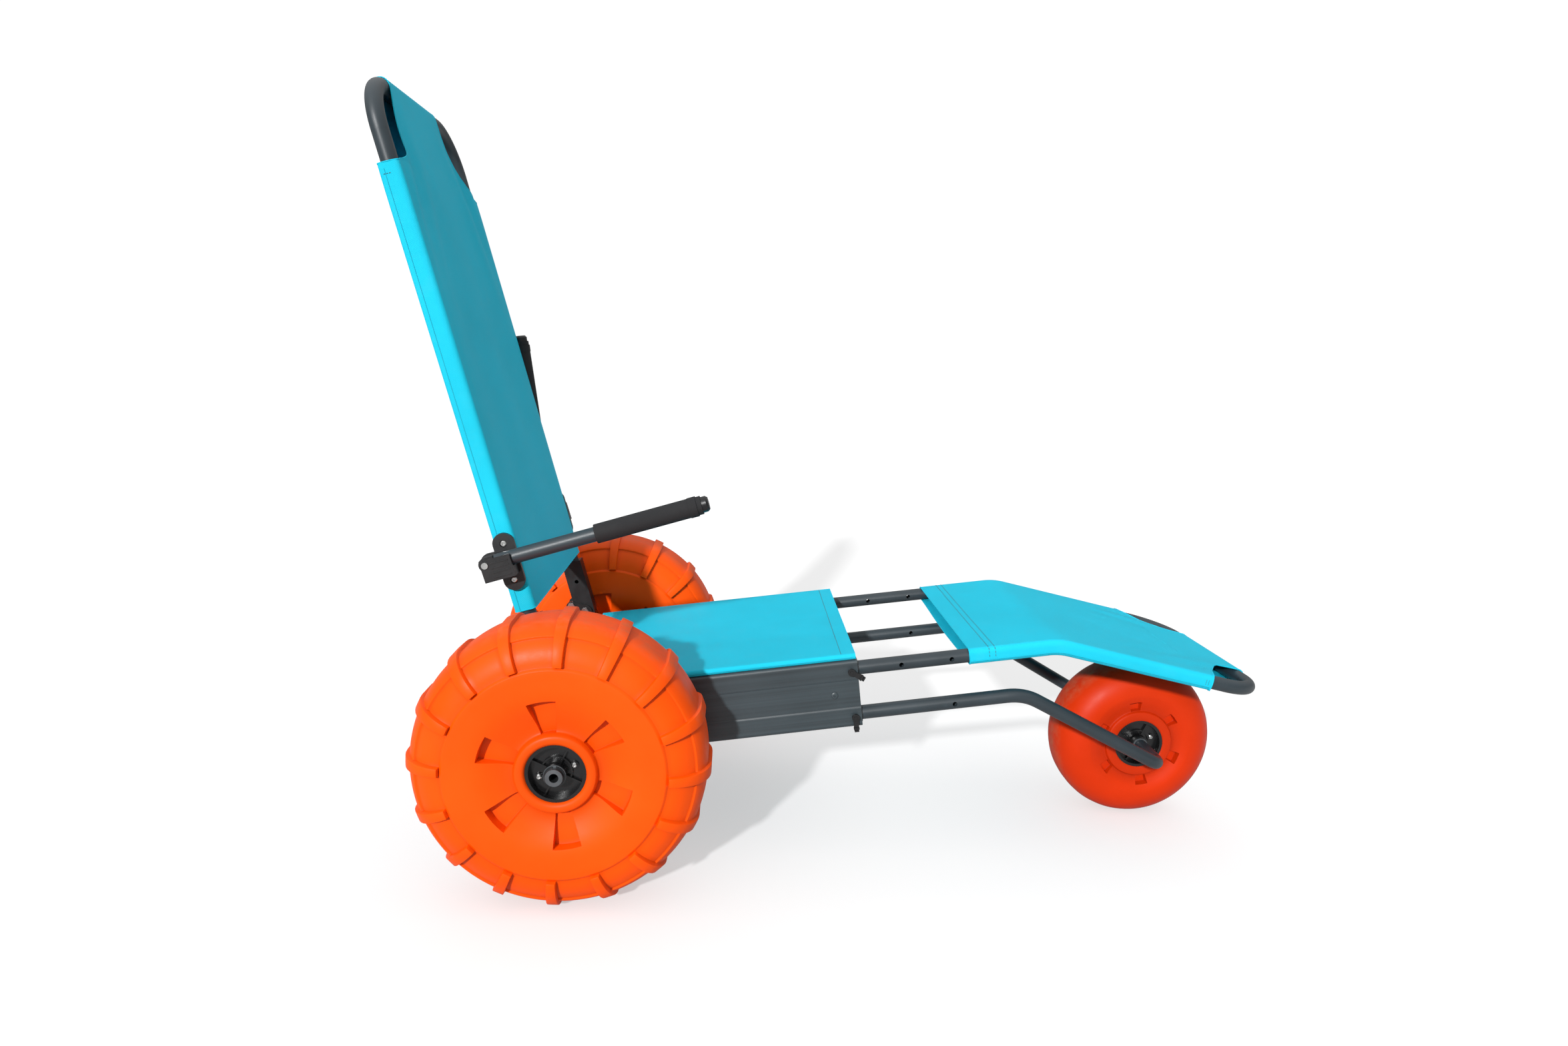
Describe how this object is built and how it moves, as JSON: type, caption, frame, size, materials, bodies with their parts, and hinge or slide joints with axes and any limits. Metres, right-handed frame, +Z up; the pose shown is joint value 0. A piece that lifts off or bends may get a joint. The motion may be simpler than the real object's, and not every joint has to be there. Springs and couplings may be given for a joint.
{
  "type": "beach cart",
  "caption": "Reclining beach lounger cart with a folding back, swinging armrests, a sliding leg rest and balloon wheels.",
  "frame": {"origin": "on the ground, under the middle of the cart's length and width", "axes": "+X towards the feet, +Z up, +Y to the sitter's left"},
  "size_m": [1.6082, 0.8518, 1.3364],
  "materials": {
    "panel_metal": "satin dark slate powder coat with fine extrusion lines",
    "tube_metal": "satin dark grey powder coat",
    "steel": "satin stainless steel",
    "axle_metal": "brushed grey aluminium",
    "back_fabric": "coated cyan mesh-backed sling fabric",
    "seat_fabric": "coated cyan sling fabric",
    "leg_fabric": "coated cyan sling fabric",
    "black_plastic": "moulded black plastic",
    "foam": "black foam",
    "rear_tyre": "soft orange moulded wheel",
    "front_tyre": "soft red-orange moulded wheel"
  },
  "bodies": {
    "seat_frame": {"side_panel_right": "panel_metal", "side_panel_left": "panel_metal", "cross_tube_front": "tube_metal", "cross_tube_rear": "tube_metal", "cross_tube_bolts": "steel", "rear_axle": "axle_metal", "axle_spacers": "black_plastic", "axle_clips": "steel", "seat_sling": "seat_fabric", "sling_rods": "axle_metal", "rail_guides": "black_plastic", "panel_rear_caps": "black_plastic", "hinge_plates_right": "panel_metal", "hinge_plates_left": "panel_metal", "hinge_plate_bolts": "steel", "back_pivot_bolts": "steel", "back_stop_bolts": "steel"},
    "backrest": {"back_frame": "tube_metal", "hinge_post_right": "black_plastic", "hinge_post_left": "black_plastic", "post_screws": "black_plastic", "back_sling": "back_fabric", "arm_bracket_right": "black_plastic", "arm_bracket_left": "black_plastic", "arm_bracket_screws": "steel", "arm_pin_right": "steel", "arm_pin_left": "steel"},
    "armrest_right": {"arm_tube_right": "tube_metal", "arm_grip_right": "foam", "arm_tongue_right": "black_plastic", "arm_cap_right": "black_plastic"},
    "armrest_left": {"arm_tube_left": "tube_metal", "arm_grip_left": "foam", "arm_tongue_left": "black_plastic", "arm_cap_left": "black_plastic"},
    "leg_rest": {"leg_frame": "tube_metal", "leg_sling": "leg_fabric"},
    "fork": {"fork_tube_right": "tube_metal", "fork_tube_left": "tube_metal", "front_axle": "steel"},
    "rear_wheel_right": {"rear_tyre_right": "rear_tyre", "rear_hub_right": "black_plastic", "rear_bushes_right": "black_plastic", "rear_hub_screws_right": "steel"},
    "rear_wheel_left": {"rear_tyre_left": "rear_tyre", "rear_hub_left": "black_plastic", "rear_bushes_left": "black_plastic", "rear_hub_screws_left": "steel"},
    "front_wheel": {"front_tyre": "front_tyre", "front_hub": "black_plastic", "front_bushes": "black_plastic", "front_hub_screws": "steel"},
    "lock_leg_right": {"lock_pin_leg_right": "black_plastic"},
    "lock_leg_left": {"lock_pin_leg_left": "black_plastic"},
    "lock_fork_right": {"lock_pin_fork_right": "black_plastic"},
    "lock_fork_left": {"lock_pin_fork_left": "black_plastic"}
  },
  "joints": [
    {"name": "rear_wheel_right_spin", "type": "hinge", "parent": "seat_frame", "child": "rear_wheel_right", "pos_m": [-0.45923, -0.336, 0.245], "axis": [0, 1, 0], "continuous": true},
    {"name": "rear_wheel_left_spin", "type": "hinge", "parent": "seat_frame", "child": "rear_wheel_left", "pos_m": [-0.45923, 0.336, 0.245], "axis": [0, 1, 0], "continuous": true},
    {"name": "front_wheel_spin", "type": "hinge", "parent": "fork", "child": "front_wheel", "pos_m": [0.63577, 0, 0.16], "axis": [0, 1, 0], "continuous": true},
    {"name": "fork_slide", "type": "slide", "parent": "seat_frame", "child": "fork", "axis": [0.9914, 0, 0.1305], "range_m": [-0.18, 0]},
    {"name": "leg_rest_slide", "type": "slide", "parent": "seat_frame", "child": "leg_rest", "axis": [0.9914, 0, 0.1305], "range_m": [-0.18, 0]},
    {"name": "back_fold", "type": "hinge", "parent": "seat_frame", "child": "backrest", "pos_m": [-0.50623, 0, 0.34], "axis": [0, 1, 0], "range_deg": [0, 55]},
    {"name": "armrest_right_swing", "type": "hinge", "parent": "backrest", "child": "armrest_right", "pos_m": [-0.59687, -0.2572, 0.54718], "axis": [0, -1, 0], "range_deg": [0, 81]},
    {"name": "armrest_left_swing", "type": "hinge", "parent": "backrest", "child": "armrest_left", "pos_m": [-0.59687, 0.2572, 0.54718], "axis": [0, -1, 0], "range_deg": [-81, 0]},
    {"name": "lock_leg_right_press", "type": "slide", "parent": "seat_frame", "child": "lock_leg_right", "axis": [0, 1, 0], "range_m": [-0.012, 0.004]},
    {"name": "lock_leg_left_press", "type": "slide", "parent": "seat_frame", "child": "lock_leg_left", "axis": [0, -1, 0], "range_m": [-0.012, 0.004]},
    {"name": "lock_fork_right_press", "type": "slide", "parent": "seat_frame", "child": "lock_fork_right", "axis": [0, 1, 0], "range_m": [-0.012, 0.004]},
    {"name": "lock_fork_left_press", "type": "slide", "parent": "seat_frame", "child": "lock_fork_left", "axis": [0, -1, 0], "range_m": [-0.012, 0.004]}
  ],
  "couplings": [
    {"joint": "leg_rest_slide", "follows": "fork_slide", "ratio": 1}
  ]
}
